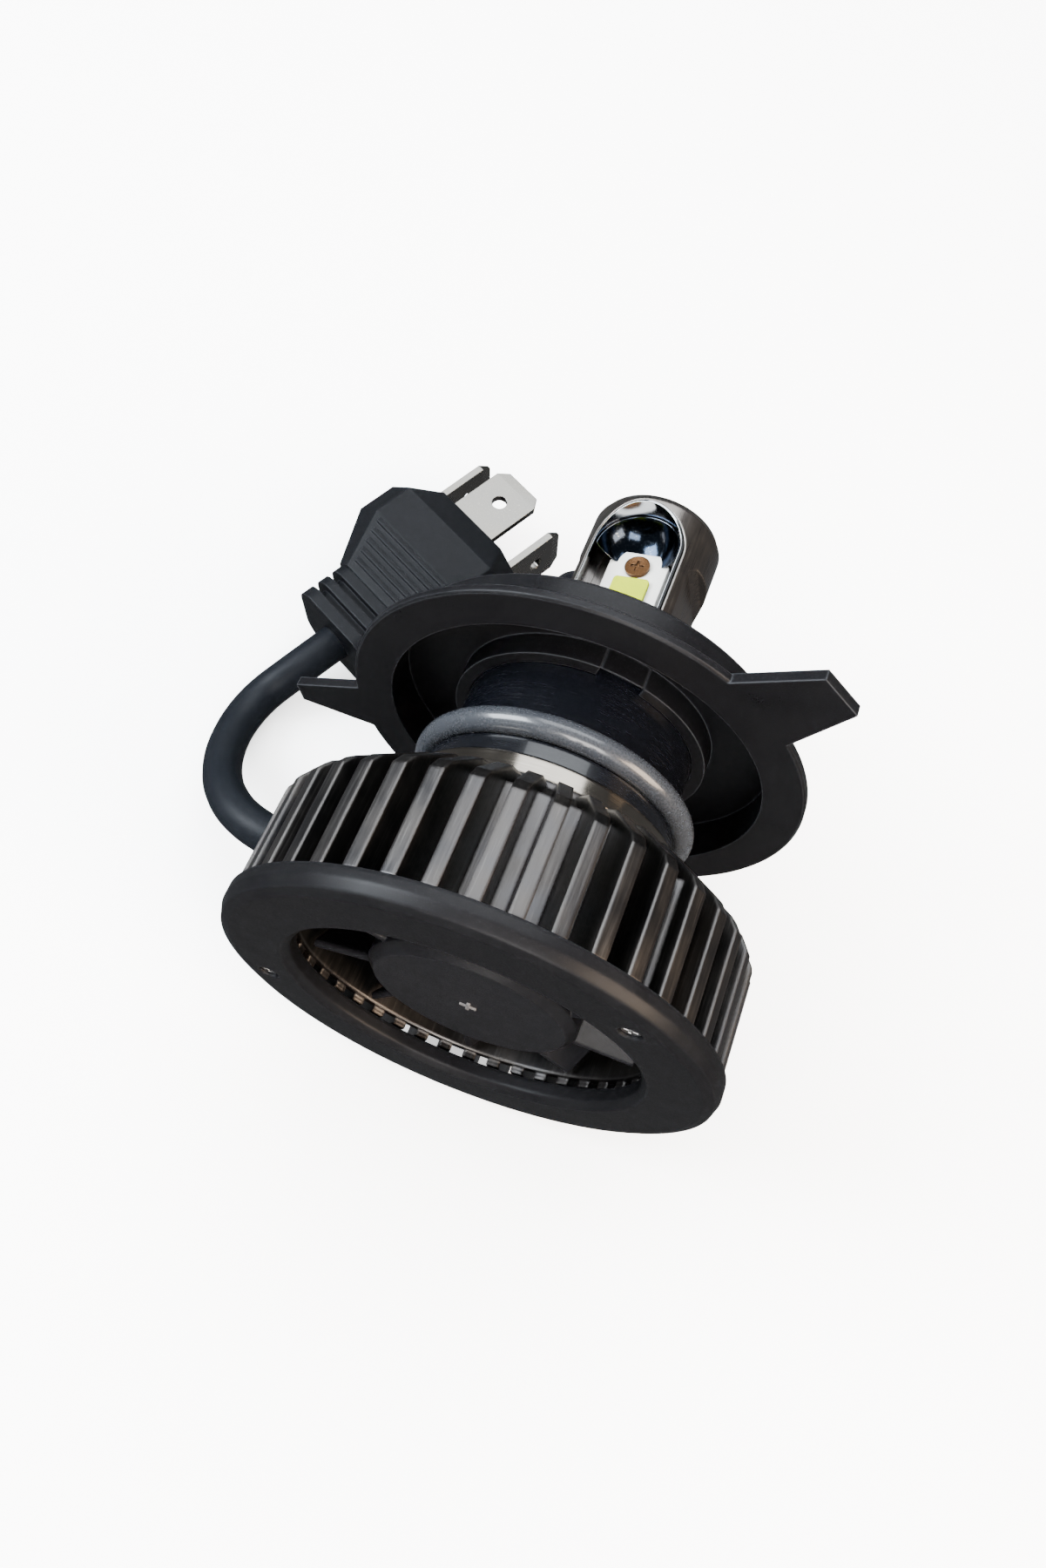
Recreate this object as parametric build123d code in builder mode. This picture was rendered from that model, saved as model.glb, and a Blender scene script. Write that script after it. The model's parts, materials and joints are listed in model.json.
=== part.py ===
from build123d import *
from math import cos, pi, radians, sin, tan
import os

os.makedirs("parts", exist_ok=True)

# Frame, mm: Y runs along the bulb towards the lamp head, +Z is up.
# Origin: centre of the collar's front face, the face that seats in the headlamp.
# The bulb lies on its side: fan cover and collar both touch the surface below.

# driving sizes
collar_r = 21.5            # collar disc, 43 mm across
collar_t = 1.0
tabs = ((196, 4.2, 28.4), (51, 6.4, 28.6), (303, 4.0, 24.2))   # angle, width, reach from the axis
tab_root = 1.5             # how far a tab starts inside the disc's rim
barrel_r = 18.6            # short barrel that enters the headlamp
barrel_length = 4.2
barrel_wall = 0.9
cover_r = 21.5
cover_wall = 1.7
cover_y = -28.5            # outer face of the fan cover
cover_depth = 2.2
opening_r = 15.2
screw_circle = 18.4        # radius of the circle the cover screws stand on
screw_angles = (50, 200)
screw_head_r = 0.8
boss_r = 1.7
fin_count = 42
fin_t = 1.2
fin_r = 21.1
fin_root_r = 16.4
sleeve_wall = 0.9
plate_y = -16.6            # fan side of the heat sink's plate
plate_t = 2.2
neck_r = 10.8
core_r = 3.0
core_w = 4.4
core_t = 1.5
lug_proud = 0.7            # lugs on the neck that hold the collar
lug_w = 3.4
lug_angles = (30, 210)
unlock_turn = 50           # turn of the collar that brings its notches to the lugs
ring_r = 12.5
o_ring_r = 1.15            # cord of the silicone ring
o_ring_y = -6.3
head_r = 6.6
head_tip = 26.4
drum_y = 20.8              # the head is full round from here to its tip
stem_half = 5.4            # half width between the flats below the drum
stem_r = 5.3
board_angle = 108.0        # turn of the first light board round Y, from +X
board_w = 6.0
board_t = 0.8
board_out = 2.3            # board's face from the bulb's axis
rotor_r = 14.4
hub_r = 9.2
blade_count = 9
shaft_r = 1.0
cable_r = 2.0
cable_exit = (-20.5, -15.0, -11.5)   # on the outer end of the cable boot
boot_x = -13.6             # inner end of the boot
boot_w = 6.4
plug_w = 20.5
plug_h = 12.2
plug_body = 7.8
plug_flare = 6.4
plug_tail = 5.6
tail_w = 11.2
tail_h = 9.2
cable_in_plug = 2.5
spade_w = 6.3
spade_t = 0.8
spade_length = 7.6

# fits
twist_fit = 0.05           # collar on neck, radial
lug_fit = 0.35             # lugs through the collar's notches
shaft_fit = 0.03           # fan shaft in its bearing, radial

rest_z = -collar_r         # the surface the bulb lies on


def at_y(y):
    # sketches here see X to the right and Z up, and grow towards the fan
    return Plane.XZ.offset(-y)


def around(angle, radius):
    return (radius * cos(radians(angle)), radius * sin(radians(angle)))


# ---------------------------------------------------------------- heat sink and fan
cover_back = cover_y + cover_depth
with BuildPart() as fan_cover:
    with BuildSketch(Plane.XY):
        with BuildLine():
            Polyline(
                (opening_r, cover_y + 0.6), (opening_r + 0.6, cover_y), (cover_r - 1.2, cover_y),
                (cover_r - 0.35, cover_y + 0.35), (cover_r, cover_y + 1.2), (cover_r, cover_back),
                (cover_r - cover_wall, cover_back), (cover_r - cover_wall, cover_y + 1.8),
                (opening_r, cover_y + 1.8), close=True)
        make_face()
    revolve(axis=Axis.Y)
    for angle in screw_angles:
        with BuildSketch(at_y(cover_y)):
            with Locations(around(angle, screw_circle)):
                Circle(screw_head_r + 0.15)
        extrude(amount=-2.0, mode=Mode.SUBTRACT)

with BuildPart() as fan_cover_screws:
    for angle in screw_angles:
        with BuildSketch(at_y(cover_y + 0.25)):
            with Locations(around(angle, screw_circle)):
                Circle(screw_head_r)
        extrude(amount=-4.4)
        with BuildSketch(at_y(cover_y + 0.25)):
            with Locations(around(angle, screw_circle)):
                Rectangle(1.1, 0.25)
                Rectangle(0.25, 1.1)
        extrude(amount=-0.4, mode=Mode.SUBTRACT)

# crown of straight radial fins round a thin sleeve, all standing on one plate
plate_top = plate_y + plate_t
with BuildPart() as heat_sink:
    with BuildSketch(Plane.XY):
        with BuildLine():
            Polyline(
                (fin_root_r - sleeve_wall, cover_back + 0.6), (fin_root_r, cover_back + 0.6),
                (fin_root_r, plate_top), (14.6, plate_top), (14.0, plate_top + 1.0),
                (ring_r, plate_top + 2.6), (ring_r, plate_top + 3.2), (core_r, plate_top + 3.2),
                (core_r, plate_y), (fin_root_r - sleeve_wall, plate_y), close=True)
        make_face()
    revolve(axis=Axis.Y)
    with BuildSketch(Plane.XY):
        with BuildLine():
            Polyline(
                (fin_root_r - 0.4, cover_back), (fin_r, cover_back), (fin_r, plate_y - 0.6),
                (fin_r - 0.7, plate_y + 0.5), (16.4, plate_top + 1.4), (ring_r + 0.2, plate_top + 2.8),
                (ring_r - 0.4, plate_top + 2.8), (ring_r - 0.4, plate_top - 0.4),
                (fin_root_r - 0.4, plate_top - 0.4), close=True)
        make_face()
    fin = extrude(amount=fin_t / 2, both=True)
    for i in range(1, fin_count):
        add(fin.rotate(Axis.Y, 360 / fin_count * i))
    # bosses under the cover screws
    for angle in screw_angles:
        with BuildSketch(at_y(cover_back)):
            with Locations(around(angle, screw_circle)):
                Circle(boss_r)
        extrude(amount=-(plate_y - cover_back))
        with BuildSketch(at_y(cover_y)):
            with Locations(around(angle, screw_circle)):
                Circle(screw_head_r)
        extrude(amount=-8.0, mode=Mode.SUBTRACT)
    # seat for the cable boot on the plate's rim
    with Locations((boot_x - 5.5, cable_exit[1], cable_exit[2])):
        Box(11.0, boot_w, boot_w, mode=Mode.SUBTRACT)

fan_floor = plate_y - 1.2
with BuildPart() as fan_base:
    with BuildSketch(at_y(fan_floor)):
        Circle(fin_root_r - sleeve_wall)
        Circle(13.0, mode=Mode.SUBTRACT)
    extrude(amount=-(plate_y - fan_floor))
    with BuildSketch(at_y(fan_floor)):
        Circle(8.0)
        with PolarLocations(10.6, 4, start_angle=45):
            Rectangle(6.4, 2.0)
    extrude(amount=-(plate_y - fan_floor))
    with BuildSketch(at_y(fan_floor)):
        Circle(2.2)
    extrude(amount=4.6)
    with BuildSketch(at_y(plate_y)):
        Circle(1.7)
    extrude(amount=9.0, mode=Mode.SUBTRACT)

with BuildPart() as fan_bearing:
    with BuildSketch(at_y(plate_y)):
        Circle(1.7)
        Circle(shaft_r + shaft_fit, mode=Mode.SUBTRACT)
    extrude(amount=5.6)

with BuildPart() as fan_shaft:
    with BuildSketch(at_y(plate_y)):
        Circle(shaft_r)
    extrude(amount=8.6)

hub_face = cover_y + 1.9
hub_depth = 6.4
with BuildPart() as fan_rotor:
    with BuildSketch(Plane.XY):
        with BuildLine():
            Polyline(
                (0, hub_face), (hub_r - 0.8, hub_face), (hub_r, hub_face + 0.8),
                (hub_r, hub_face + hub_depth), (hub_r - 0.9, hub_face + hub_depth),
                (hub_r - 0.9, hub_face + 1.1), (1.9, hub_face + 1.1), (1.9, hub_face + 2.4),
                (shaft_r, hub_face + 2.4), (shaft_r, hub_face + 1.1), (0, hub_face + 1.1), close=True)
        make_face()
    revolve(axis=Axis.Y)
    for i in range(blade_count):
        blade = Plane(origin=(0, hub_face + 3.4, 0), x_dir=(0, 1, 0), z_dir=(1, 0, 0))
        with BuildSketch(blade.offset(hub_r - 0.3), mode=Mode.PRIVATE) as tip:
            SlotOverall(6.2, 0.75, rotation=38)
        vane = extrude(tip.sketch, amount=rotor_r - hub_r + 0.3, mode=Mode.PRIVATE)
        add(vane.rotate(Axis.Y, 360 / blade_count * i))

with BuildPart() as rotor_magnet:
    with BuildSketch(at_y(hub_face + 1.1)):
        Circle(hub_r - 0.9)
        Circle(hub_r - 2.1, mode=Mode.SUBTRACT)
    extrude(amount=-4.8)

with BuildPart() as fan_stator:
    with BuildSketch(at_y(fan_floor - 0.9)):
        Circle(3.6)
        with PolarLocations(4.6, 4):
            Rectangle(3.0, 1.5)
        with PolarLocations(6.0, 4):
            Rectangle(1.0, 4.2)
        Circle(2.2, mode=Mode.SUBTRACT)
    extrude(amount=3.0)

with BuildPart() as fan_circuit_board:
    with BuildSketch(at_y(fan_floor)):
        Circle(7.6)
        Circle(2.2, mode=Mode.SUBTRACT)
    extrude(amount=0.9)

# ---------------------------------------------------------------- neck and collar
ring_back = plate_top + 3.2
with BuildPart() as neck_ring:
    with BuildSketch(Plane.XY):
        with BuildLine():
            Polyline(
                (core_r, ring_back), (ring_r, ring_back), (ring_r, ring_back + 1.6),
                (ring_r - 0.3, ring_back + 1.9), (core_r, ring_back + 1.9), close=True)
        make_face()
    revolve(axis=Axis.Y)

groove_y = ring_back + 1.9
lug_y = barrel_length + 0.1
with BuildPart() as neck_body:
    with BuildSketch(Plane.XY):
        with BuildLine():
            Polyline(
                (core_r, groove_y), (neck_r + 0.9, groove_y), (neck_r + 0.9, o_ring_y - o_ring_r - 0.1),
                (neck_r, o_ring_y - o_ring_r - 0.1), (neck_r, barrel_length + 2.2),
                (neck_r - 0.8, barrel_length + 3.0), (core_r, barrel_length + 3.0),
                close=True)
        make_face()
    revolve(axis=Axis.Y)
    # two lugs in front of the collar's web hold it on
    for angle in lug_angles:
        with BuildSketch(at_y(lug_y + 0.1)):
            with Locations(Location(around(angle, neck_r + lug_proud - 0.8), angle)):
                Rectangle(1.6, lug_w)
        extrude(amount=-1.4)

with BuildPart() as neck_o_ring:
    with BuildSketch(Plane.XY):
        with Locations((neck_r + o_ring_r, o_ring_y)):
            Circle(o_ring_r)
    revolve(axis=Axis.Y)

sleeve_in = neck_r + twist_fit
with BuildPart() as collar:
    with BuildSketch(Plane.XY):
        with BuildLine():
            Polyline(
                (barrel_r - barrel_wall, -collar_t), (collar_r - 0.2, -collar_t),
                (collar_r, -collar_t + 0.2), (collar_r, -0.2), (collar_r - 0.2, 0), (barrel_r, 0),
                (barrel_r, barrel_length - 0.5), (barrel_r - 0.5, barrel_length),
                (sleeve_in, barrel_length), (sleeve_in, barrel_length - 3.4),
                (sleeve_in + 1.2, barrel_length - 3.4), (sleeve_in + 1.2, barrel_length - 1.2),
                (barrel_r - barrel_wall, barrel_length - 1.2), close=True)
        make_face()
    revolve(axis=Axis.Y)
    # keyed tabs, unevenly spaced so the bulb fits one way only
    for angle, width, reach in tabs:
        mid = (reach + collar_r - tab_root) / 2
        with BuildSketch(at_y(-collar_t)):
            with Locations(Location(around(angle, mid), angle)):
                Trapezoid(width + 2.4, reach - collar_r + tab_root, 76, rotation=-90)
        extrude(amount=-collar_t)
    # notches that let the neck's lugs through when the collar is turned to its open end
    for angle in lug_angles:
        with BuildSketch(at_y(-1.0)):
            with Locations(Location(around(angle + unlock_turn, neck_r + lug_proud + lug_fit - 1.0),
                                    angle + unlock_turn)):
                Rectangle(2.0, lug_w + 2 * lug_fit)
        extrude(amount=-(barrel_length + 2.0), mode=Mode.SUBTRACT)

# ---------------------------------------------------------------- lamp head
a = radians(board_angle)
first_side = Plane(origin=(0, 0, 0), x_dir=(sin(a), 0, -cos(a)), z_dir=(cos(a), 0, sin(a)))
second_side = Plane(origin=(0, 0, 0), x_dir=(-sin(a), 0, cos(a)), z_dir=(-cos(a), 0, -sin(a)))
board_back = board_out - board_t
head_start = barrel_length + 3.0
core_end = head_tip - 6.0
pocket_half = 4.6
pocket_end = head_tip - 1.4

with BuildPart() as lamp_head:
    with BuildSketch(Plane.XY):
        with BuildLine():
            Polyline(
                (0, head_start), (head_r, head_start), (head_r, head_tip - 1.2),
                (head_r - 0.4, head_tip - 0.4), (head_r - 1.2, head_tip), (0, head_tip), close=True)
        make_face()
    revolve(axis=Axis.Y)
    for face in (first_side, second_side):
        with BuildSketch(face.offset(board_back)):
            with Locations((0, (head_start + pocket_end - pocket_half) / 2)):
                Rectangle(2 * pocket_half, pocket_end - pocket_half - head_start)
            with Locations((0, pocket_end - pocket_half)):
                Circle(pocket_half)
        extrude(amount=head_r, mode=Mode.SUBTRACT)
    # flats on both sides below the drum, ending in a sloped step
    for hand in (-1, 1):
        with BuildSketch(first_side):
            with BuildLine():
                Polyline(
                    (hand * stem_half, head_start), (hand * stem_half, drum_y - 1.6),
                    (hand * (stem_half + 0.5), drum_y - 0.5), (hand * (head_r + 0.4), drum_y),
                    (hand * (head_r + 2), drum_y), (hand * (head_r + 2), head_start), close=True)
            make_face()
        extrude(amount=head_r, both=True, mode=Mode.SUBTRACT)
    # slot along the middle for the copper core
    with BuildSketch(first_side):
        with Locations((0, (head_start + core_end) / 2)):
            Rectangle(core_w, core_end - head_start)
    extrude(amount=core_t / 2, both=True, mode=Mode.SUBTRACT)

# copper core: a round rod through the neck, then a flat strip between the boards
with BuildPart() as heat_core:
    with BuildSketch(at_y(head_start)):
        Circle(core_r)
    extrude(amount=head_start - plate_y)
    with BuildSketch(first_side):
        with Locations((0, (head_start + core_end) / 2)):
            Rectangle(core_w, core_end - head_start)
    extrude(amount=core_t / 2, both=True)

# glossy half-capsule beside the first strip that cuts the light on that side
shield_r = 2.9
shield_end = drum_y - 1.7
shield_axis = first_side.offset(0.6)
with BuildPart() as beam_shield:
    with BuildSketch(shield_axis):
        with BuildLine():
            Polyline(
                (-stem_half, head_start), (-stem_half - shield_r, head_start),
                (-stem_half - shield_r, shield_end - shield_r))
            RadiusArc((-stem_half - shield_r, shield_end - shield_r), (-stem_half, shield_end), shield_r)
            Line((-stem_half, shield_end), (-stem_half, head_start))
        make_face()
    shield_edge = Axis(shield_axis.from_local_coords((-stem_half, 0, 0)), (0, 1, 0))
    revolve(axis=shield_edge)
    with BuildSketch(shield_axis):
        with Locations((-stem_half + 5, (head_start + shield_end) / 2)):
            Rectangle(10, shield_end - head_start + 2)
    extrude(amount=10, both=True, mode=Mode.SUBTRACT)

board_start = head_start + 0.4
board_end = pocket_end - 3.2


def board_outline():
    Polyline(
        (-board_w / 2, board_start), (board_w / 2, board_start), (board_w / 2, board_end - 1.2),
        (board_w / 2 - 1.2, board_end), (-board_w / 2 + 1.2, board_end), (-board_w / 2, board_end - 1.2),
        close=True)


screw_y = board_end - 1.9
with BuildPart() as led_board_upper:
    with BuildSketch(first_side.offset(board_back)):
        with BuildLine():
            board_outline()
        make_face()
        with Locations((0, screw_y)):
            Circle(0.7, mode=Mode.SUBTRACT)
    extrude(amount=board_t)

with BuildPart() as led_board_lower:
    with BuildSketch(second_side.offset(board_back)):
        with BuildLine():
            board_outline()
        make_face()
        with Locations((0, screw_y)):
            Circle(0.7, mode=Mode.SUBTRACT)
    extrude(amount=board_t)

chip_start = board_start + 1.2
chip_length = board_end - 3.5 - chip_start
with BuildPart() as led_strip_upper:
    with BuildSketch(first_side.offset(board_out)):
        with Locations((0, chip_start + chip_length / 2)):
            RectangleRounded(3.6, chip_length, 0.4)
    extrude(amount=0.45)

with BuildPart() as led_strip_lower:
    with BuildSketch(second_side.offset(board_out)):
        with Locations((0, chip_start + chip_length / 2)):
            RectangleRounded(3.6, chip_length, 0.4)
    extrude(amount=0.45)

with BuildPart() as led_board_screws:
    for face in (first_side, second_side):
        with BuildSketch(face.offset(board_out)):
            with Locations((0, screw_y)):
                Circle(1.25)
        extrude(amount=0.4)
        with BuildSketch(face.offset(board_out)):
            with Locations((0, screw_y)):
                Circle(0.7)
        extrude(amount=-board_t)
        with BuildSketch(face.offset(board_out + 0.4)):
            with Locations((0, screw_y)):
                Rectangle(1.3, 0.3)
                Rectangle(0.3, 1.3)
        extrude(amount=-0.22, mode=Mode.SUBTRACT)

# ---------------------------------------------------------------- cable and plug
plug_angle = 62.0          # heading of the plug on the surface, from +X
plug_rise = 7.0            # its front face is thicker than its tail, so it lies nose up
ca, sa = cos(radians(plug_angle)), sin(radians(plug_angle))
cr, sr = cos(radians(plug_rise)), sin(radians(plug_rise))
plug_start = (-29.3, 11.2, rest_z + 4.62)
plug_dir = (ca * cr, sa * cr, sr)
plug_plane = Plane(origin=plug_start, x_dir=(-sa, ca, 0), z_dir=plug_dir)


def along_plug(distance):
    return tuple(plug_start[i] + plug_dir[i] * distance for i in range(3))


cable_z = rest_z + cable_r
cable_points = [
    cable_exit,
    (-25.5, -15.0, -11.5),
    (-31.3, -11.4, -14.2),
    (-34.6, -5.1, -17.8),
    (-34.9, 1.8, cable_z),
    along_plug(-5.0),
    along_plug(cable_in_plug),
]


def arc_radii(points):
    radii = []
    for before, corner, after in zip(points, points[1:], points[2:]):
        back = Vector(*before) - Vector(*corner)
        on = Vector(*after) - Vector(*corner)
        turn = pi - radians(back.get_angle(on))
        radii.append(0.45 * min(back.length, on.length) / tan(turn / 2))
    return radii


cable_radii = arc_radii(cable_points)
with BuildPart() as cable:
    with BuildLine() as cable_line:
        FilletPolyline(*cable_points, radius=cable_radii)
    with BuildSketch(Plane(origin=cable_line.wires()[0] @ 0, z_dir=cable_line.wires()[0] % 0)):
        Circle(cable_r)
    sweep()
cable_length = cable_line.wires()[0].length

with BuildPart() as cable_boot:
    with BuildSketch(Plane.YZ.offset(boot_x)):
        with Locations((cable_exit[1], cable_exit[2])):
            RectangleRounded(boot_w, boot_w, 1.2)
    extrude(amount=-4.2)
    with BuildSketch(Plane.YZ.offset(boot_x - 4.2)):
        with Locations((cable_exit[1], cable_exit[2])):
            Circle(2.9)
    extrude(amount=cable_exit[0] - boot_x + 4.2)

tail_end = plug_tail
flare_end = plug_tail + plug_flare
nose_end = flare_end + plug_body


def section(width, height, cut):
    w, h = width / 2, height / 2
    Polyline(
        (-w + cut, -h), (w - cut, -h), (w, -h + cut), (w, h - cut), (w - cut, h), (-w + cut, h),
        (-w, h - cut), (-w, -h + cut), close=True)


with BuildPart() as plug_body_part:
    with BuildSketch(plug_plane.offset(tail_end)):
        with BuildLine():
            section(tail_w + 0.4, tail_h + 0.2, 1.6)
        make_face()
    with BuildSketch(plug_plane.offset(flare_end)):
        with BuildLine():
            section(plug_w, plug_h, 3.4)
        make_face()
    loft()
    with BuildSketch(plug_plane.offset(flare_end)):
        with BuildLine():
            section(plug_w, plug_h, 3.4)
        make_face()
    extrude(amount=plug_body - 3.2)
    with BuildSketch(plug_plane.offset(nose_end - 3.2)):
        with BuildLine():
            section(plug_w, plug_h, 3.4)
        make_face()
    with BuildSketch(plug_plane.offset(nose_end)):
        with BuildLine():
            section(plug_w - 5.6, plug_h - 3.4, 2.6)
        make_face()
    loft()
    # thin grip ribs across the top of the flare
    for i in range(5):
        with BuildSketch(plug_plane.offset(tail_end + 0.9 + 1.15 * i)):
            with Locations((0, 4.75 + 0.25 * i)):
                Rectangle(8.0 + 0.9 * i, 1.0)
        extrude(amount=0.5)
    for x, y, turn in ((0, 3.7, 0), (6.0, -0.9, 90), (-6.0, -0.9, 90)):
        with BuildSketch(plug_plane.offset(nose_end - 6.0)):
            with Locations(Location((x, y), turn)):
                Rectangle(spade_w, spade_t)
        extrude(amount=7.0, mode=Mode.SUBTRACT)

with BuildPart() as plug_tail_part:
    with BuildSketch(plug_plane):
        RectangleRounded(tail_w, tail_h, 2.4)
    extrude(amount=tail_end)
    for start in (1.4, 3.4):
        with BuildSketch(plug_plane.offset(start)):
            RectangleRounded(tail_w + 2.0, tail_h + 2.0, 2.6)
            RectangleRounded(tail_w - 2.0, tail_h - 2.0, 1.8, mode=Mode.SUBTRACT)
        extrude(amount=0.9, mode=Mode.SUBTRACT)
    with BuildSketch(plug_plane):
        Circle(cable_r)
    extrude(amount=cable_in_plug, mode=Mode.SUBTRACT)
    # two small square sockets in the side that faces the bulb
    for y in (1.2, -1.2):
        with Locations(plug_plane.location * Location((-tail_w / 2, y, tail_end - 0.65))):
            Box(1.4, 0.9, 0.8, mode=Mode.SUBTRACT)


def spade(x, y, turn):
    flat = plug_plane.offset(nose_end - 6.0)
    root = flat.location * Location((x, y, 0), (0, 0, turn))
    with BuildPart() as blade_part:
        with BuildSketch(Plane(root)):
            Rectangle(spade_w, spade_t)
        extrude(amount=6.0 + spade_length - 1.2)
        with BuildSketch(Plane(root).offset(6.0 + spade_length - 1.2)):
            Rectangle(spade_w, spade_t)
        with BuildSketch(Plane(root).offset(6.0 + spade_length)):
            Rectangle(spade_w - 1.8, spade_t - 0.4)
        loft()
        with BuildSketch(Plane(origin=Plane(root).from_local_coords((0, 0, 6.0 + spade_length - 3.6)),
                               z_dir=Plane(root).y_dir)):
            Circle(0.85)
        extrude(amount=spade_t, both=True, mode=Mode.SUBTRACT)
    return blade_part.part


named = {
    "fan_cover": fan_cover.part,
    "fan_cover_screws": fan_cover_screws.part,
    "heat_sink": heat_sink.part,
    "fan_base": fan_base.part,
    "fan_bearing": fan_bearing.part,
    "fan_shaft": fan_shaft.part,
    "fan_rotor": fan_rotor.part,
    "rotor_magnet": rotor_magnet.part,
    "fan_stator": fan_stator.part,
    "fan_circuit_board": fan_circuit_board.part,
    "neck_ring": neck_ring.part,
    "neck_body": neck_body.part,
    "neck_o_ring": neck_o_ring.part,
    "collar": collar.part,
    "lamp_head": lamp_head.part,
    "heat_core": heat_core.part,
    "beam_shield": beam_shield.part,
    "led_board_upper": led_board_upper.part,
    "led_board_lower": led_board_lower.part,
    "led_strip_upper": led_strip_upper.part,
    "led_strip_lower": led_strip_lower.part,
    "led_board_screws": led_board_screws.part,
    "cable_boot": cable_boot.part,
    "cable": cable.part,
    "plug_tail": plug_tail_part.part,
    "plug_body": plug_body_part.part,
    "plug_spade_top": spade(0, 3.7, 0),
    "plug_spade_left": spade(6.0, -0.9, 90),
    "plug_spade_right": spade(-6.0, -0.9, 90),
}
for label, solid in named.items():
    solid.label = label
    export_step(solid, f"parts/{label}.step")
    print(label, round(solid.volume, 1), "solids", len(solid.solids()))
print("cable radii", [round(r, 1) for r in cable_radii], "length", round(cable_length, 1),
      "volume", round(cable.part.volume, 1), "section x length", round(pi * cable_r ** 2 * cable_length, 1))
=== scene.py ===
import bpy
import json
from math import radians
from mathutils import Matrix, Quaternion, Vector


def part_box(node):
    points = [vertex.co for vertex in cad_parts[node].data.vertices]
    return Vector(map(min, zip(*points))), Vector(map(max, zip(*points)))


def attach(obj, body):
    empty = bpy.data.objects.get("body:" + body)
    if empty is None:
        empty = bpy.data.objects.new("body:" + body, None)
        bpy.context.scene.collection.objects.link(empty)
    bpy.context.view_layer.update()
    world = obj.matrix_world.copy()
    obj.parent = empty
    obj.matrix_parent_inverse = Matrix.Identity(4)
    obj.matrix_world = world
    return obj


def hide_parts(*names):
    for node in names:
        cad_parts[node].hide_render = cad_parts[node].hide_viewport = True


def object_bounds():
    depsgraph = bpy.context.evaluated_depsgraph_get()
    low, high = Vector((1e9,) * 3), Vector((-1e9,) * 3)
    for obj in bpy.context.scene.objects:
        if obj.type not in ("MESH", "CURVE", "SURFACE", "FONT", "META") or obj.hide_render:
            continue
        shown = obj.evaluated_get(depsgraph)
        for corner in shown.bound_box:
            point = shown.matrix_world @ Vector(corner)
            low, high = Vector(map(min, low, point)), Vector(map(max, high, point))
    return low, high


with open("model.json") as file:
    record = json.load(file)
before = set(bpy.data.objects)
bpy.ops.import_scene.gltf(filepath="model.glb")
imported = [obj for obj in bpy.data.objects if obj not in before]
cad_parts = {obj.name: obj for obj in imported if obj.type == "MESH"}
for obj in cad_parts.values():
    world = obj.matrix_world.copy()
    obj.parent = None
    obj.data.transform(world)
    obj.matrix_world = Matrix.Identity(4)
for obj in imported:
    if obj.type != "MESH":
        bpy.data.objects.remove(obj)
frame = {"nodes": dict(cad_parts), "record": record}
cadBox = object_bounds()
mm = 0.001
print("frame loaded:", len(frame["nodes"]), "nodes")

cameraSetup = {
    "place": (0.0038, -0.0561, 0.0962),  # metres, above and behind the fan end
    "aim": (-0.062, 0.463, -0.884),
    "roll": 14.4,  # degrees about the line of sight
    "lens": 27.82,
    "nearest": 0.002,
}


def addCamera(setup):
    data = bpy.data.cameras.new("camera")
    data.lens = setup["lens"]
    data.clip_start = setup["nearest"]
    camera = bpy.data.objects.new("camera", data)
    bpy.context.collection.objects.link(camera)
    camera.location = setup["place"]
    camera.rotation_mode = "QUATERNION"
    level = Vector(setup["aim"]).to_track_quat("-Z", "Y")
    camera.rotation_quaternion = level @ Quaternion((0, 0, 1), radians(setup["roll"]))
    bpy.context.scene.camera = camera


addCamera(cameraSetup)
print("camera placed")

# stretch of the grain, per millimetre along x, y and z
even = (1, 1, 1)
turned = (0.15, 5, 0.15)  # fine rings round the bulb's axis
drawn = (3, 0.12, 3)  # fine lines along the axis

# what a finish below doesn't say comes from here
plainLook = {
    "metal": 0.0, "specular": 0.3, "coat": 0.0, "coatRough": 0.1,
    "stretch": even,
    "patch": 0.25,  # size of the broad patches of colour
    "marks": 0.3,  # strength of the rubbed marks on the faces
    "edge": 0.2,  # rounding of the edges in the light, mm
    # lighter colour on every edge: partly wear, partly a painted highlight
    "edgeWearAndHighlight": 0.5,
    "bump": 0.3,
    "relief": 0.03,  # depth of the grain, mm
}

# each finish's wear colour serves the rubbed marks and the lighter edges, where it is partly a painted
# highlight
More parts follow.
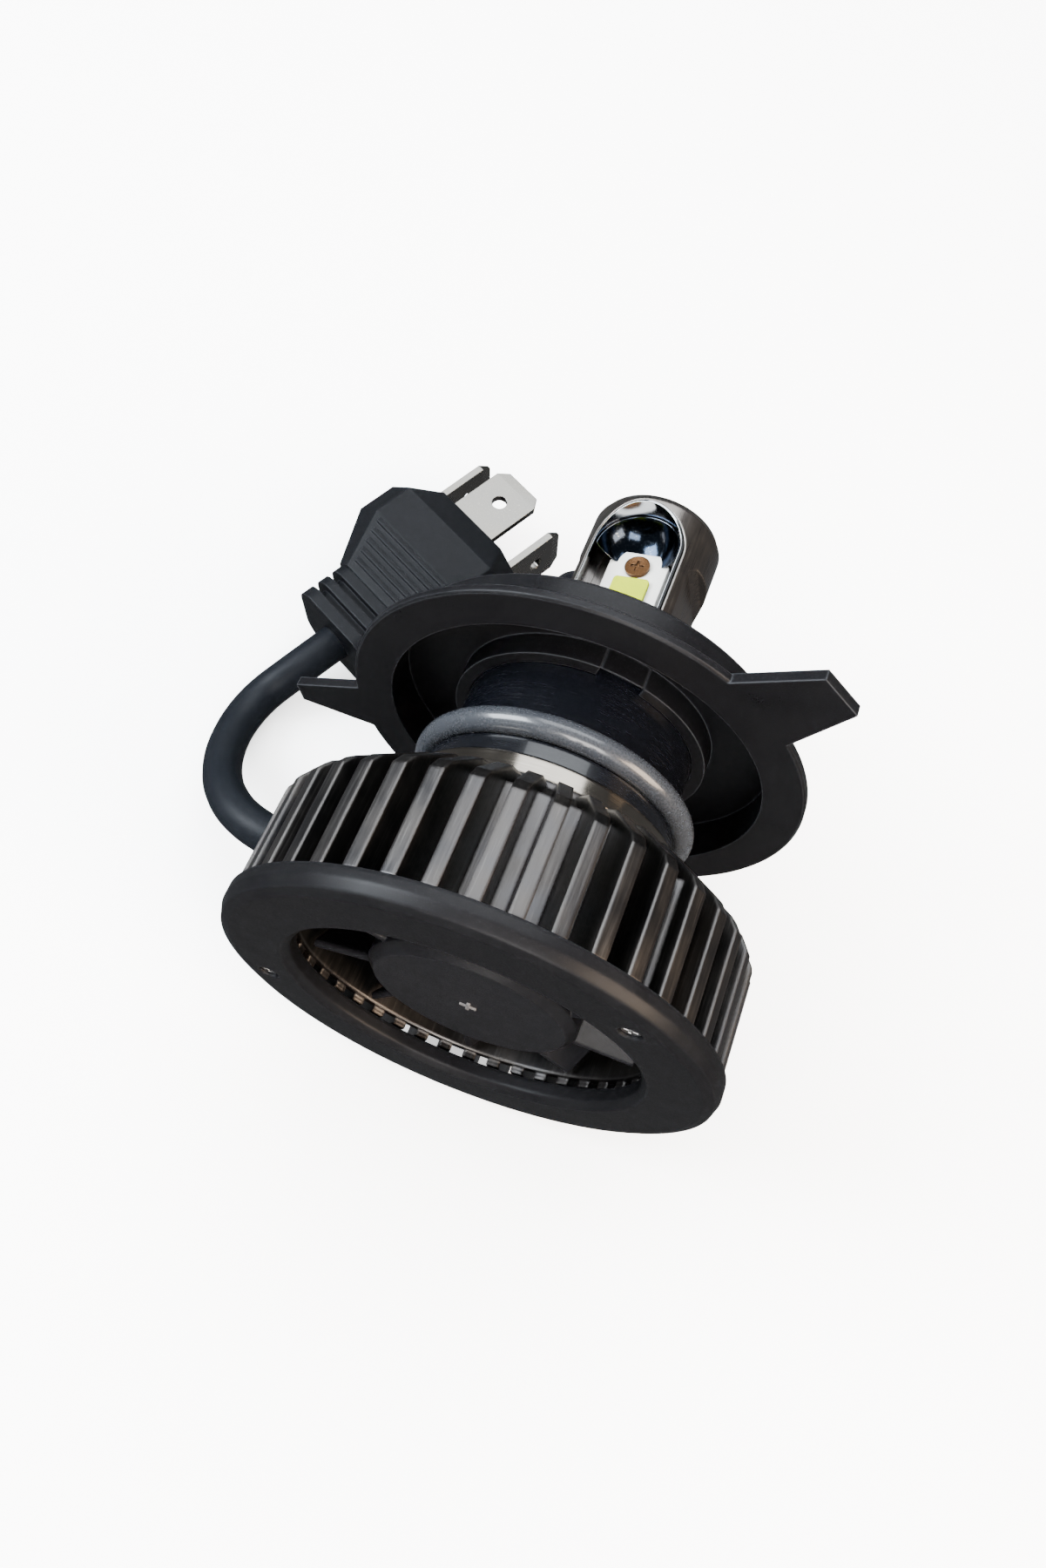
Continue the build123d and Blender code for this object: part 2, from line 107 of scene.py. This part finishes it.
finishes = {
    # fan end
    "satin_black": {
        "base": (0.0018, 0.0018, 0.0022), "tint": (0.0036, 0.0036, 0.0042),
        "wearAndHighlight": (0.03, 0.032, 0.036), "specular": 0.09, "grain": 9, "rough": (0.3, 0.46),
        "bump": 0.35, "relief": 0.02, "edge": 0.45, "edgeWearAndHighlight": 0.15, "marks": 0.12},
    "screw_steel": {
        "base": (0.32, 0.33, 0.35), "tint": (0.5, 0.5, 0.5), "wearAndHighlight": (0.75, 0.76, 0.78),
        "metal": 1.0, "grain": 7, "rough": (0.2, 0.42), "edge": 0.08},
    "heat_sink_metal": {
        "base": (0.042, 0.044, 0.05), "tint": (0.08, 0.071, 0.062), "wearAndHighlight": (0.2, 0.19, 0.18),
        "metal": 1.0, "stretch": drawn, "grain": 2.2, "rough": (0.28, 0.46),
        "bump": 0.35, "edge": 0.42, "edgeWearAndHighlight": 0.35, "marks": 0.25},
    "fan_plastic": {
        "base": (0.0025, 0.0025, 0.003), "tint": (0.005, 0.005, 0.006), "wearAndHighlight": (0.03, 0.03, 0.033),
        "specular": 0.1, "grain": 8, "rough": (0.3, 0.5), "relief": 0.02,
        "edgeWearAndHighlight": 0.25, "marks": 0.15},
    "bearing_brass": {
        "base": (0.55, 0.38, 0.14), "tint": (0.65, 0.48, 0.2), "wearAndHighlight": (0.9, 0.75, 0.4),
        "metal": 1.0, "stretch": turned, "grain": 1.5, "rough": (0.22, 0.4)},
    "magnet_iron": {
        "base": (0.05, 0.05, 0.055), "tint": (0.09, 0.085, 0.08), "wearAndHighlight": (0.2, 0.2, 0.2),
        "metal": 0.6, "grain": 5, "rough": (0.45, 0.7)},
    "copper": {
        "base": (0.6, 0.24, 0.1), "tint": (0.72, 0.34, 0.18), "wearAndHighlight": (0.9, 0.5, 0.3),
        "metal": 1.0, "stretch": turned, "grain": 2, "rough": (0.25, 0.45)},
    "board_green": {
        "base": (0.01, 0.08, 0.03), "tint": (0.015, 0.12, 0.045), "wearAndHighlight": (0.3, 0.3, 0.15),
        "grain": 6, "rough": (0.35, 0.5)},
    # neck and collar
    "polished_metal": {
        "base": (0.2, 0.18, 0.155), "tint": (0.28, 0.25, 0.21), "wearAndHighlight": (0.5, 0.46, 0.41),
        "metal": 1.0, "stretch": turned, "grain": 1.6, "rough": (0.1, 0.22),
        "bump": 0.2, "relief": 0.015, "edge": 0.25},
    "neck_gloss": {
        "base": (0.001, 0.0012, 0.002), "tint": (0.002, 0.0024, 0.0036), "wearAndHighlight": (0.02, 0.022, 0.028),
        "coat": 0.3, "coatRough": 0.06, "specular": 0.25, "stretch": turned, "grain": 1.2,
        "rough": (0.2, 0.32), "bump": 0.1, "relief": 0.01, "edge": 0.3, "edgeWearAndHighlight": 0.2, "marks": 0.05},
    "grey_silicone": {
        "base": (0.014, 0.016, 0.02), "tint": (0.023, 0.025, 0.028), "wearAndHighlight": (0.08, 0.08, 0.08),
        "coat": 0.4, "coatRough": 0.12, "grain": 5, "rough": (0.22, 0.36),
        "bump": 0.15, "relief": 0.015, "marks": 0.1},
    "satin_black_metal": {
        "base": (0.0018, 0.0018, 0.0022), "tint": (0.0036, 0.0036, 0.0042),
        "wearAndHighlight": (0.06, 0.066, 0.075), "specular": 0.09, "grain": 8, "rough": (0.27, 0.42),
        "relief": 0.015, "edge": 0.25, "edgeWearAndHighlight": 0.35, "marks": 0.12},
    # lamp head
    "head_metal": {
        "base": (0.12, 0.11, 0.103), "tint": (0.17, 0.15, 0.135), "wearAndHighlight": (0.4, 0.38, 0.35),
        "metal": 1.0, "stretch": drawn, "grain": 1.8, "rough": (0.24, 0.4),
        "bump": 0.25, "relief": 0.02, "edge": 0.3, "marks": 0.2},
    "board_white": {
        "base": (0.4, 0.4, 0.385), "tint": (0.47, 0.47, 0.45), "wearAndHighlight": (0.6, 0.6, 0.55),
        "grain": 6, "rough": (0.3, 0.45), "bump": 0.15, "marks": 0.15, "edgeWearAndHighlight": 0.2},
    "phosphor_yellow": {
        "base": (0.2, 0.25, 0.0), "tint": (0.27, 0.31, 0.0), "wearAndHighlight": (0.36, 0.4, 0.005),
        "specular": 0.05, "grain": 9, "rough": (0.3, 0.5), "bump": 0.2, "marks": 0.35},
    "screw_bronze": {
        "base": (0.05, 0.024, 0.01), "tint": (0.085, 0.042, 0.018), "wearAndHighlight": (0.2, 0.12, 0.07),
        "metal": 1.0, "grain": 8, "rough": (0.2, 0.4), "edge": 0.12},
    "chrome_liner": {
        "base": (0.42, 0.43, 0.45), "tint": (0.52, 0.53, 0.55), "wearAndHighlight": (0.95, 0.95, 0.95),
        "metal": 1.0, "stretch": drawn, "grain": 1.5, "rough": (0.06, 0.16),
        "bump": 0.12, "relief": 0.01, "edge": 0.08},
    # a chrome cup whose dark blue-black base colour is a painted reflection of dark surroundings
    "chrome_with_painted_dark_reflection": {
        "base": (0.012, 0.018, 0.03), "tint": (0.025, 0.034, 0.05), "wearAndHighlight": (0.3, 0.35, 0.4),
        "metal": 1.0, "grain": 4, "rough": (0.1, 0.2), "bump": 0.08, "relief": 0.01, "edge": 0.08},
    # cable and plug
    "cable_black": {
        "base": (0.002, 0.0026, 0.004), "tint": (0.0036, 0.0045, 0.006), "wearAndHighlight": (0.02, 0.022, 0.026),
        "specular": 0.08, "grain": 7, "rough": (0.38, 0.55),
        "edge": 0.25, "edgeWearAndHighlight": 0.2, "marks": 0.15},
    "plug_black": {
        "base": (0.0018, 0.002, 0.0026), "tint": (0.003, 0.0034, 0.0043), "wearAndHighlight": (0.022, 0.024, 0.028),
        "specular": 0.07, "grain": 10, "rough": (0.36, 0.55),
        "bump": 0.4, "edge": 0.3, "edgeWearAndHighlight": 0.35, "marks": 0.15},
    "spade_metal": {
        "base": (0.13, 0.128, 0.12), "tint": (0.2, 0.185, 0.16), "wearAndHighlight": (0.36, 0.34, 0.3),
        "metal": 1.0, "grain": 5, "rough": (0.16, 0.36), "bump": 0.12, "relief": 0.01, "edge": 0.1},
}

# limits between which noise or an edge turns into marks, lighter edges or gloss; the lighter edges are
# partly wear and partly a painted highlight
thresholds = {"marks": (0.56, 0.8), "edgeWearAndHighlight": (0.96, 0.80), "gloss": (0.1, 0.45)}
mixSockets = {"amount": 0, "first": 6, "second": 7, "result": 2}  # of a Mix node set to colour


def addNoise(tree, scale, detail, stretch):
    coords = tree.nodes.new("ShaderNodeTexCoord")
    mapping = tree.nodes.new("ShaderNodeMapping")
    mapping.inputs["Scale"].default_value = [s / mm for s in stretch]
    noise = tree.nodes.new("ShaderNodeTexNoise")
    noise.inputs["Scale"].default_value = scale
    noise.inputs["Detail"].default_value = detail
    tree.links.new(coords.outputs["Object"], mapping.inputs["Vector"])
    tree.links.new(mapping.outputs["Vector"], noise.inputs["Vector"])
    return noise.outputs["Fac"]


def addRange(tree, value, limits, low, high):
    mapRange = tree.nodes.new("ShaderNodeMapRange")
    mapRange.inputs["From Min"].default_value = limits[0]
    mapRange.inputs["From Max"].default_value = limits[1]
    mapRange.inputs["To Min"].default_value = low
    mapRange.inputs["To Max"].default_value = high
    tree.links.new(value, mapRange.inputs["Value"])
    return mapRange.outputs["Result"]


def addMix(tree, amount, colour):
    # the caller gives the first colour; this one is mixed over it
    mix = tree.nodes.new("ShaderNodeMix")
    mix.data_type = "RGBA"
    mix.inputs[mixSockets["second"]].default_value = (*colour, 1)
    tree.links.new(amount, mix.inputs[mixSockets["amount"]])
    return mix


def addMixOver(tree, below, amount, colour):
    mix = addMix(tree, amount, colour)
    tree.links.new(below.outputs[mixSockets["result"]], mix.inputs[mixSockets["first"]])
    return mix


def addRoundedEdges(tree, radius):
    # softened normal, and how far it leans from the face: 1 on a face, less at an edge
    bevel = tree.nodes.new("ShaderNodeBevel")
    bevel.samples = 6
    bevel.inputs["Radius"].default_value = radius
    surface = tree.nodes.new("ShaderNodeNewGeometry")
    lean = tree.nodes.new("ShaderNodeVectorMath")
    lean.operation = "DOT_PRODUCT"
    tree.links.new(bevel.outputs["Normal"], lean.inputs[0])
    tree.links.new(surface.outputs["Normal"], lean.inputs[1])
    return bevel.outputs["Normal"], lean.outputs["Value"]


def addColour(tree, look, grain, patches, lean):
    base = addMix(tree, patches, look["tint"])
    base.inputs[mixSockets["first"]].default_value = (*look["base"], 1)
    marks = addRange(tree, grain, thresholds["marks"], 0, look["marks"])
    marked = addMixOver(tree, base, marks, look["wearAndHighlight"])
    # edges take the wear colour: partly wear, partly a painted highlight on every edge
    edges = addRange(tree, lean, thresholds["edgeWearAndHighlight"], 0, look["edgeWearAndHighlight"])
    edged = addMixOver(tree, marked, edges, look["wearAndHighlight"])
    return edged.outputs[mixSockets["result"]]


def addRoughness(tree, look, grain, patches):
    both = tree.nodes.new("ShaderNodeMath")
    both.operation = "MULTIPLY"
    tree.links.new(grain, both.inputs[0])
    tree.links.new(patches, both.inputs[1])
    return addRange(tree, both.outputs["Value"], thresholds["gloss"], *look["rough"])


def addGrainBump(tree, look, grain, normal):
    bump = tree.nodes.new("ShaderNodeBump")
    bump.inputs["Strength"].default_value = look["bump"]
    bump.inputs["Distance"].default_value = look["relief"] * mm
    tree.links.new(grain, bump.inputs["Height"])
    tree.links.new(normal, bump.inputs["Normal"])
    return bump.outputs["Normal"]


def makeMaterial(name, finish):
    look = plainLook | finish
    material = bpy.data.materials.new(name)
    material.use_nodes = True
    tree = material.node_tree
    shader = tree.nodes["Principled BSDF"]
    shader.inputs["Metallic"].default_value = look["metal"]
    shader.inputs["Specular IOR Level"].default_value = look["specular"]
    shader.inputs["Coat Weight"].default_value = look["coat"]
    shader.inputs["Coat Roughness"].default_value = look["coatRough"]
    grain = addNoise(tree, look["grain"], 5, look["stretch"])
    patches = addNoise(tree, look["patch"], 3, even)
    normal, lean = addRoundedEdges(tree, look["edge"] * mm)
    tree.links.new(addColour(tree, look, grain, patches, lean), shader.inputs["Base Color"])
    tree.links.new(addRoughness(tree, look, grain, patches), shader.inputs["Roughness"])
    tree.links.new(addGrainBump(tree, look, grain, normal), shader.inputs["Normal"])
    return material


materials = {name: makeMaterial(name, finish) for name, finish in finishes.items()}
print("materials made:", len(materials))


def dressNodes():
    for part in frame["record"]["subparts"]:
        mesh = frame["nodes"][part["node"]].data
        mesh.materials.clear()
        mesh.materials.append(materials[part["material_slot"]])


dressNodes()
print("CAD nodes dressed")


def inEditMode(kind):
    bpy.ops.object.mode_set(mode="EDIT")
    bpy.ops.mesh.select_mode(type=kind)


def pick(test):
    # selects the vertices of the active mesh whose place passes the test
    bpy.ops.mesh.select_mode(type="VERT")
    bpy.ops.mesh.select_all(action="DESELECT")
    bpy.ops.object.mode_set(mode="OBJECT")
    for vertex in bpy.context.object.data.vertices:
        vertex.select = test(vertex.co)
    bpy.ops.object.mode_set(mode="EDIT")


def faceOutwards():
    bpy.ops.mesh.select_all(action="SELECT")
    bpy.ops.mesh.normals_make_consistent(inside=False)


def makeActive(piece):
    bpy.ops.object.select_all(action="DESELECT")
    piece.select_set(True)
    bpy.context.view_layer.objects.active = piece


def applyModifiers(piece):
    for modifier in list(piece.modifiers):
        bpy.ops.object.modifier_apply(modifier=modifier.name)


def finishPiece(piece, name, slotName, body, smooth):
    # smooth is the angle in degrees below which neighbouring faces are shaded as one
    makeActive(piece)
    applyModifiers(piece)
    bpy.ops.object.transform_apply(location=True, rotation=True, scale=True)
    bpy.ops.object.shade_smooth_by_angle(angle=radians(smooth))
    piece.name = name
    piece.data.name = name
    piece.data.materials.clear()
    piece.data.materials.append(materials[slotName])
    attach(piece, body)


# all in millimetres; the cable's line ends inside the plug's tail
plugStart = Vector((-29.3, 11.2, -16.88))
plugWay = Vector((0.46597, 0.87637, 0.12187))
cableRun = {
    "diameter": 4.0,
    "points": [
        (-20.5, -15.0, -11.5), (-25.5, -15.0, -11.5), (-31.3, -11.4, -14.2), (-34.6, -5.1, -17.8),
        (-34.9, 1.8, -19.5), tuple(plugStart - plugWay * 5.0), tuple(plugStart + plugWay * 2.5)],
    "length": 40.5,
    "plug": ["plug_tail", "plug_body", "plug_spade_top", "plug_spade_left", "plug_spade_right"],
}


def addCable(setup):
    curve = bpy.data.curves.new("cableRun", "CURVE")
    curve.dimensions = "3D"
    curve.resolution_u = 16
    curve.bevel_depth = setup["diameter"] / 2 * mm
    curve.bevel_resolution = 8
    curve.use_fill_caps = True
    line = curve.splines.new("NURBS")
    line.points.add(len(setup["points"]) - 1)
    for knot, point in zip(line.points, setup["points"]):
        knot.co = (*[c * mm for c in point], 1)
    line.order_u = 3
    line.use_endpoint_u = True
    piece = bpy.data.objects.new("cableRun", curve)
    bpy.context.collection.objects.link(piece)
    curve.materials.append(materials["cable_black"])
    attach(piece, "bulb")
    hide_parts("cable")


addCable(cableRun)
print("cable laid")

# the slot in each side of the lamp head, in millimetres, as if that side faced up
headTurn = -18.0  # turn of the first side about the bulb's axis
pocket = {
    "radius": 4.5,  # of the slot's round end, half its width
    "floor": 1.55,
    "end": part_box("lamp_head")[1].y / mm - 1.5,  # just short of the slot's end wall
    "start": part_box("led_board_upper")[0].y / mm,
    "shell": 6.66,  # radius that the liner's rim is trimmed to
    "wall": 0.22,
    "trimLength": 80,  # of the round bar that trims it, longer than the bulb
}


def addPocketLiner(setup, name, turn):
    # bright skin on the slot's walls, trimmed to the round shell
    radius = setup["radius"] * mm
    centre = setup["end"] * mm - radius
    near = radius * 0.02
    bpy.ops.object.select_all(action="DESELECT")
    bpy.ops.mesh.primitive_circle_add(
        vertices=64, radius=radius, fill_type="NOTHING", location=(0, centre, setup["floor"] * mm))
    piece = bpy.context.object
    bpy.ops.object.transform_apply(location=True)
    inEditMode("VERT")
    pick(lambda place: place.y < centre - near)  # half a circle stays
    bpy.ops.mesh.delete(type="VERT")
    pick(lambda place: abs(place.y - centre) < near)  # its two ends run back along the slot
    bpy.ops.mesh.extrude_region_move(
        TRANSFORM_OT_translate={"value": (0, setup["start"] * mm - centre, 0)})
    bpy.ops.mesh.select_all(action="SELECT")
    bpy.ops.mesh.extrude_region_move(TRANSFORM_OT_translate={"value": (0, 0, setup["shell"] * mm)})
    bpy.ops.mesh.select_all(action="SELECT")
    bpy.ops.mesh.normals_make_consistent(inside=True)
    bpy.ops.object.mode_set(mode="OBJECT")
    thick = piece.modifiers.new("thick", "SOLIDIFY")
    thick.thickness = setup["wall"] * mm
    thick.offset = 1
    bpy.ops.mesh.primitive_cylinder_add(
        vertices=128, radius=setup["shell"] * mm, depth=setup["trimLength"] * mm,
        location=(0, 0, 0), rotation=(radians(90), 0, 0))
    shell = bpy.context.object
    trim = piece.modifiers.new("trim", "BOOLEAN")
    trim.operation = "INTERSECT"
    trim.object = shell
    makeActive(piece)
    applyModifiers(piece)
    bpy.data.objects.remove(shell)
    piece.rotation_euler = (0, radians(turn), 0)
    finishPiece(piece, name, "chrome_liner", "bulb", 40)


# millimetres; the bowl stands just inside the liner
bowl = {
    "radius": 4.26,
    "top": 4.7,
    "wall": 0.12,
    "pastCentre": 0.1,  # where the half sphere is cut, towards the slot's end
}


def addPocketBowl(setup, name, turn):
    # chrome cove at the round end of the slot, its dark reflection painted into its colour
    radius = setup["radius"] * mm
    centreY = (pocket["end"] - pocket["radius"]) * mm
    centreZ = (pocket["floor"] + setup["wall"]) * mm + radius
    cutY = centreY + setup["pastCentre"] * mm
    bpy.ops.object.select_all(action="DESELECT")
    bpy.ops.mesh.primitive_uv_sphere_add(
        segments=64, ring_count=48, radius=radius, location=(0, centreY, centreZ))
    piece = bpy.context.object
    bpy.ops.object.transform_apply(location=True)
    inEditMode("VERT")
    bpy.ops.mesh.select_all(action="SELECT")
    bpy.ops.mesh.bisect(plane_co=(0, cutY, 0), plane_no=(0, 1, 0), clear_inner=True)
    bpy.ops.mesh.select_all(action="SELECT")
    bpy.ops.mesh.bisect(plane_co=(0, 0, setup["top"] * mm), plane_no=(0, 0, 1), clear_outer=True)
    faceOutwards()
    bpy.ops.mesh.flip_normals()
    bpy.ops.object.mode_set(mode="OBJECT")
    thick = piece.modifiers.new("thick", "SOLIDIFY")
    thick.thickness = setup["wall"] * mm
    thick.offset = -1
    piece.rotation_euler = (0, radians(turn), 0)
    finishPiece(piece, name, "chrome_with_painted_dark_reflection", "bulb", 60)


for side, turn in (("Upper", headTurn), ("Lower", headTurn + 180)):
    addPocketLiner(pocket, "pocketLiner" + side, turn)
    addPocketBowl(bowl, "pocketBowl" + side, turn)
print("lamp head lined")

# the cross on the fan's hub, in millimetres
hubMark = {"long": 1.5, "wide": 0.34, "proud": 0.16, "sunk": 0.1, "bevel": 0.06}


def addHubMark(setup):
    half = setup["wide"] * mm / 2
    arm = (setup["long"] - setup["wide"]) / 2 * mm
    depth = (setup["proud"] + setup["sunk"]) * mm
    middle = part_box("fan_rotor")[0].y + setup["sunk"] * mm - depth / 2
    bpy.ops.object.select_all(action="DESELECT")
    bpy.ops.mesh.primitive_cube_add(size=1, location=(0, middle, 0))
    piece = bpy.context.object
    piece.scale = (setup["wide"] * mm, depth, setup["wide"] * mm)
    bpy.ops.object.transform_apply(location=True, scale=True)
    inEditMode("FACE")
    for x, z in ((1, 0), (-1, 0), (0, 1), (0, -1)):  # one arm each way
        pick(lambda place: place.x * x + place.z * z > half * 0.98
             and abs(place.x * z) + abs(place.z * x) < half * 1.02)
        bpy.ops.mesh.select_mode(type="FACE")
        bpy.ops.mesh.extrude_region_move(TRANSFORM_OT_translate={"value": (x * arm, 0, z * arm)})
    faceOutwards()
    bpy.ops.object.mode_set(mode="OBJECT")
    soft = piece.modifiers.new("soft", "BEVEL")
    soft.width = setup["bevel"] * mm
    soft.segments = 3
    finishPiece(piece, "hubMark", "magnet_iron", "rotor", 35)


addHubMark(hubMark)
print("hub marked")

# metres
stageSetup = {
    "floorColour": (0.97, 0.97, 0.97),
    "floorGlow": 0.9,
    "wide": 5.0,
    "wall": 1.2,
    "soft": 0.6,  # radius of the curve from floor to wall
    "skyColour": (0.92, 0.95, 1.0),
    "skyPower": 0.2,
}


def makeFloorPaint(setup):
    paint = bpy.data.materials.new("floorPaint")
    paint.use_nodes = True
    shader = paint.node_tree.nodes["Principled BSDF"]
    shader.inputs["Base Color"].default_value = (*setup["floorColour"], 1)
    shader.inputs["Roughness"].default_value = 0.7
    shader.inputs["Emission Color"].default_value = (1, 1, 1, 1)
    shader.inputs["Emission Strength"].default_value = setup["floorGlow"]
    paint.cycles.emission_sampling = "NONE"  # keeps the glow out of the light list
    return paint


def addFloor(setup):
    # floor and walls in one pale dish, open at the top, under the bulb's lowest point
    wall = setup["wall"]
    bpy.ops.object.select_all(action="DESELECT")
    bpy.ops.mesh.primitive_plane_add(size=setup["wide"], location=(0, 0, wall + cadBox[0].z))
    floor = bpy.context.object
    floor.name = "floor"
    inEditMode("FACE")
    bpy.ops.mesh.select_all(action="SELECT")
    bpy.ops.mesh.extrude_region_move(TRANSFORM_OT_translate={"value": (0, 0, -wall)})
    bpy.ops.object.mode_set(mode="OBJECT")
    soft = floor.modifiers.new("soft", "BEVEL")
    soft.width = setup["soft"]
    soft.segments = 8
    applyModifiers(floor)
    bpy.ops.object.shade_smooth()
    floor.data.materials.append(makeFloorPaint(setup))
    floor.visible_glossy = False  # dark parts mirror the dim studio, not the bright floor


def addSky(setup):
    world = bpy.data.worlds.new("studio")
    world.use_nodes = True
    background = world.node_tree.nodes["Background"]
    background.inputs["Color"].default_value = (*setup["skyColour"], 1)
    background.inputs["Strength"].default_value = setup["skyPower"]
    bpy.context.scene.world = world


addFloor(stageSetup)
addSky(stageSetup)
print("stage set")

# metres and watts; each light faces the bulb
lightSetup = {
    "overhead": {"place": (-0.08, 0.38, 0.7), "power": 12, "size": 0.7, "colour": (0.9, 0.95, 1.0)},
    "leftSoft": {"place": (-0.5, -0.08, 0.42), "power": 16, "size": 0.35, "colour": (0.86, 0.93, 1.0)},
    "rightWarm": {"place": (0.5, -0.2, 0.3), "power": 11, "size": 0.35, "colour": (1.0, 0.78, 0.58)},
    "frontSoft": {"place": (0.1, -0.6, 0.5), "power": 12, "size": 0.4, "colour": (1.0, 0.96, 0.92)},
}


def addLight(name, setup):
    data = bpy.data.lights.new(name, "AREA")
    data.energy = setup["power"]
    data.size = setup["size"]
    data.color = setup["colour"]
    light = bpy.data.objects.new(name, data)
    bpy.context.collection.objects.link(light)
    light.location = setup["place"]
    light.rotation_mode = "QUATERNION"
    light.rotation_quaternion = (-Vector(setup["place"])).to_track_quat("-Z", "Y")


for name, setup in lightSetup.items():
    addLight(name, setup)
print("lights placed:", len(lightSetup))
